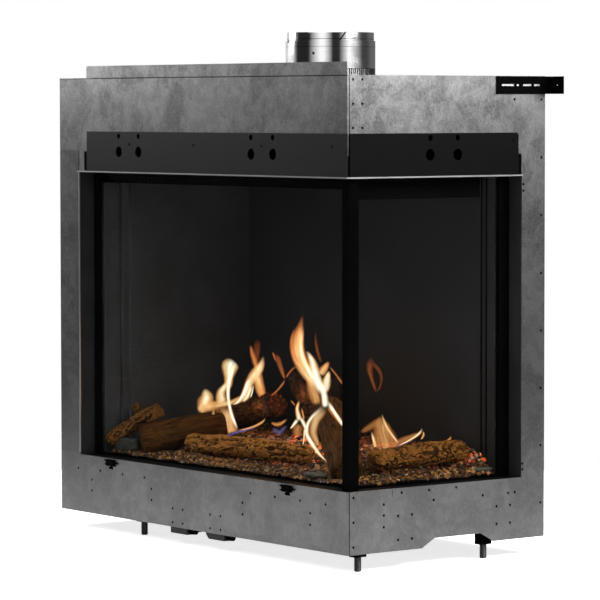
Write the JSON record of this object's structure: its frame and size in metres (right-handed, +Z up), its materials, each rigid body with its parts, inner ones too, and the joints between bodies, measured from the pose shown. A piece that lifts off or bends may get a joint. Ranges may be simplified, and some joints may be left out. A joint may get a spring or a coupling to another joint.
{
  "type": "gas fireplace insert",
  "caption": "Corner gas fireplace insert with a tilting front pane, a fixed side pane, log fire, concentric flue collar, wall brackets and levelling feet.",
  "frame": {"origin": "middle of the footprint at floor level, under the levelling feet", "axes": "+X towards the glazed side, +Y towards the wall behind, +Z up; the front faces -Y"},
  "size_m": [1.1886, 0.5734, 1.1567],
  "materials": {
    "galvanised_sheet": "matt galvanised",
    "black_painted_steel": "matt black",
    "firebox_liner": "matt charcoal",
    "bright_steel": "bright stainless",
    "ceramic_glass": "clear",
    "ceramic_bark": "painted ceramic fibre",
    "ember_bed": "glowing granules",
    "stone": "natural",
    "brass": "plain"
  },
  "bodies": {
    "casing": {"back_panel": "galvanised_sheet", "base_plate": "galvanised_sheet", "burner_tray": "black_painted_steel", "corner_post": "black_painted_steel", "ember_bed": "ember_bed", "firebox_back_liner": "firebox_liner", "firebox_ceiling": "firebox_liner", "firebox_floor": "firebox_liner", "firebox_left_liner": "firebox_liner", "flue_base_ring": "black_painted_steel", "flue_inner_pipe": "bright_steel", "flue_outer_collar": "bright_steel", "foot_block_left_front": "black_painted_steel", "foot_block_left_rear": "black_painted_steel", "foot_block_right_front": "black_painted_steel", "foot_block_right_rear": "black_painted_steel", "front_fascia_rail": "black_painted_steel", "front_left_stile": "galvanised_sheet", "front_lower_panel": "galvanised_sheet", "front_upper_panel": "galvanised_sheet", "front_upstand": "galvanised_sheet", "gas_inlet_pipe": "brass", "gas_valve": "brass", "left_connection_box": "black_painted_steel", "left_jamb": "black_painted_steel", "left_side_panel": "galvanised_sheet", "log_charred": "ceramic_bark", "log_front": "ceramic_bark", "log_large": "ceramic_bark", "log_leaning": "ceramic_bark", "log_rear": "ceramic_bark", "log_side": "ceramic_bark", "log_slender": "ceramic_bark", "log_tall": "ceramic_bark", "opening_trim": "bright_steel", "pane_header": "black_painted_steel", "rail_backing_strip": "black_painted_steel", "rear_jamb": "black_painted_steel", "right_connection_box": "black_painted_steel", "right_side_panel": "galvanised_sheet", "side_fascia_rail": "black_painted_steel", "side_glass": "ceramic_glass", "side_glass_border": "black_painted_steel", "stone_front": "stone", "stone_left": "stone", "stone_side": "stone", "top_plate": "galvanised_sheet", "window_sill": "black_painted_steel", "window_soffit": "black_painted_steel"},
    "front_pane": {"front_glass": "ceramic_glass", "front_glass_border": "black_painted_steel"},
    "left_catch": {"left_pane_catch": "black_painted_steel"},
    "right_catch": {"right_pane_catch": "black_painted_steel"},
    "left_bracket": {"left_wall_bracket": "black_painted_steel"},
    "right_bracket": {"right_wall_bracket": "black_painted_steel"},
    "knob": {"valve_knob": "black_painted_steel"},
    "stud_left_front": {"foot_stud_left_front": "black_painted_steel"},
    "stud_right_front": {"foot_stud_right_front": "black_painted_steel"},
    "stud_left_rear": {"foot_stud_left_rear": "black_painted_steel"},
    "stud_right_rear": {"foot_stud_right_rear": "black_painted_steel"}
  },
  "joints": [
    {"name": "front_pane_tilt", "type": "hinge", "parent": "casing", "child": "front_pane", "pos_m": [0, -0.23335, 0.847], "axis": [-1, 0, 0], "range_deg": [0, 15]},
    {"name": "left_catch_slide", "type": "slide", "parent": "casing", "child": "left_catch", "axis": [0, 0, -1], "range_m": [0, 0.008], "stiffness_N_per_m": 500, "springref_m": -0.01},
    {"name": "right_catch_slide", "type": "slide", "parent": "casing", "child": "right_catch", "axis": [0, 0, -1], "range_m": [0, 0.008], "stiffness_N_per_m": 500, "springref_m": -0.01},
    {"name": "left_bracket_slide", "type": "slide", "parent": "casing", "child": "left_bracket", "axis": [0, 1, 0], "range_m": [-0.008, 0.036]},
    {"name": "right_bracket_slide", "type": "slide", "parent": "casing", "child": "right_bracket", "axis": [0, 1, 0], "range_m": [-0.008, 0.036]},
    {"name": "valve_knob_turn", "type": "hinge", "parent": "casing", "child": "knob", "pos_m": [-0.109, -0.01765, 0.0908], "axis": [0, -1, 0], "range_deg": [0, 90]},
    {"name": "stud_left_front_slide", "type": "slide", "parent": "casing", "child": "stud_left_front", "axis": [0, 0, -1], "range_m": [0, 0.03]},
    {"name": "stud_right_front_slide", "type": "slide", "parent": "casing", "child": "stud_right_front", "axis": [0, 0, -1], "range_m": [0, 0.03]},
    {"name": "stud_left_rear_slide", "type": "slide", "parent": "casing", "child": "stud_left_rear", "axis": [0, 0, -1], "range_m": [0, 0.03]},
    {"name": "stud_right_rear_slide", "type": "slide", "parent": "casing", "child": "stud_right_rear", "axis": [0, 0, -1], "range_m": [0, 0.03]}
  ]
}
